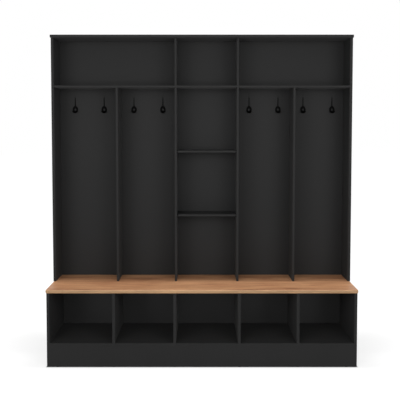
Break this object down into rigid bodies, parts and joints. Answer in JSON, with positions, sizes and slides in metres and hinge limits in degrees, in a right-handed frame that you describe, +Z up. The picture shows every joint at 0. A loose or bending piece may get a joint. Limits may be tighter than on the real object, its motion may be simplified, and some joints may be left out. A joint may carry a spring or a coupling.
{
  "type": "hall tree",
  "caption": "Wide hall tree: open shoe cubbies under an oak-look bench, and a shallow black hutch with coat hooks, a centre column of loose shelves and a hat shelf.",
  "frame": {"origin": "middle of the footprint, on the floor", "axes": "+Z up, +X to the right seen from the front, front towards -Y, back against the wall towards +Y"},
  "size_m": [1.8, 0.4, 1.932],
  "materials": {
    "black_board": "matt black laminate on particle board",
    "black_sheet": "black lacquered hardboard",
    "oak_bench": "satin oak-look laminate, grain along the length",
    "black_enamel": "gloss black enamel on a casting",
    "beech": "plain beech",
    "zinc_steel": "zinc plated",
    "zinc_casting": "cast zinc, blackened",
    "pin_steel": "blackened steel",
    "glide_plastic": "black polyethylene"
  },
  "bodies": {
    "carcass": {"plinth_front": "black_board", "plinth_back": "black_board", "plinth_end_left": "black_board", "plinth_end_right": "black_board", "plinth_bearer_left": "black_board", "plinth_bearer_right": "black_board", "base_bottom": "black_board", "base_side_left": "black_board", "base_side_right": "black_board", "base_divider_1": "black_board", "base_divider_2": "black_board", "base_divider_3": "black_board", "base_divider_4": "black_board", "hutch_side_left": "black_board", "hutch_side_right": "black_board", "hutch_divider_1": "black_board", "hutch_divider_2": "black_board", "hutch_divider_3": "black_board", "hutch_divider_4": "black_board", "long_shelf": "black_board", "upper_divider_left": "black_board", "upper_divider_right": "black_board", "top_panel": "black_board", "back_board_left": "black_board", "back_board_centre": "black_board", "back_board_right": "black_board", "base_back": "black_sheet", "bench_top": "oak_bench", "coat_hook_1": "black_enamel", "coat_hook_2": "black_enamel", "coat_hook_3": "black_enamel", "coat_hook_4": "black_enamel", "coat_hook_5": "black_enamel", "coat_hook_6": "black_enamel", "coat_hook_7": "black_enamel", "coat_hook_8": "black_enamel", "plinth_dowels": "beech", "base_dowels": "beech", "hutch_dowels": "beech", "upper_dowels": "beech", "back_dowels": "beech", "plinth_blocks": "beech", "plinth_screws": "zinc_steel", "base_screws": "zinc_steel", "shelf_screws": "zinc_steel", "top_screws": "zinc_steel", "back_screws": "zinc_steel", "hook_screws": "zinc_steel", "bench_bolts": "zinc_steel", "hutch_bolts": "zinc_steel", "shelf_bolts": "zinc_steel", "base_back_pins": "zinc_steel", "base_cams": "zinc_casting", "hutch_cams": "zinc_casting", "shelf_cams": "zinc_casting", "shelf_pins": "pin_steel", "floor_glides": "glide_plastic"},
    "lower_shelf": {"column_shelf_lower": "black_board"},
    "upper_shelf": {"column_shelf_upper": "black_board"}
  },
  "joints": [
    {"name": "lower_shelf_draw", "type": "slide", "parent": "carcass", "child": "lower_shelf", "axis": [0, -1, 0], "range_m": [0, 0.18]},
    {"name": "upper_shelf_draw", "type": "slide", "parent": "carcass", "child": "upper_shelf", "axis": [0, -1, 0], "range_m": [0, 0.18]}
  ]
}
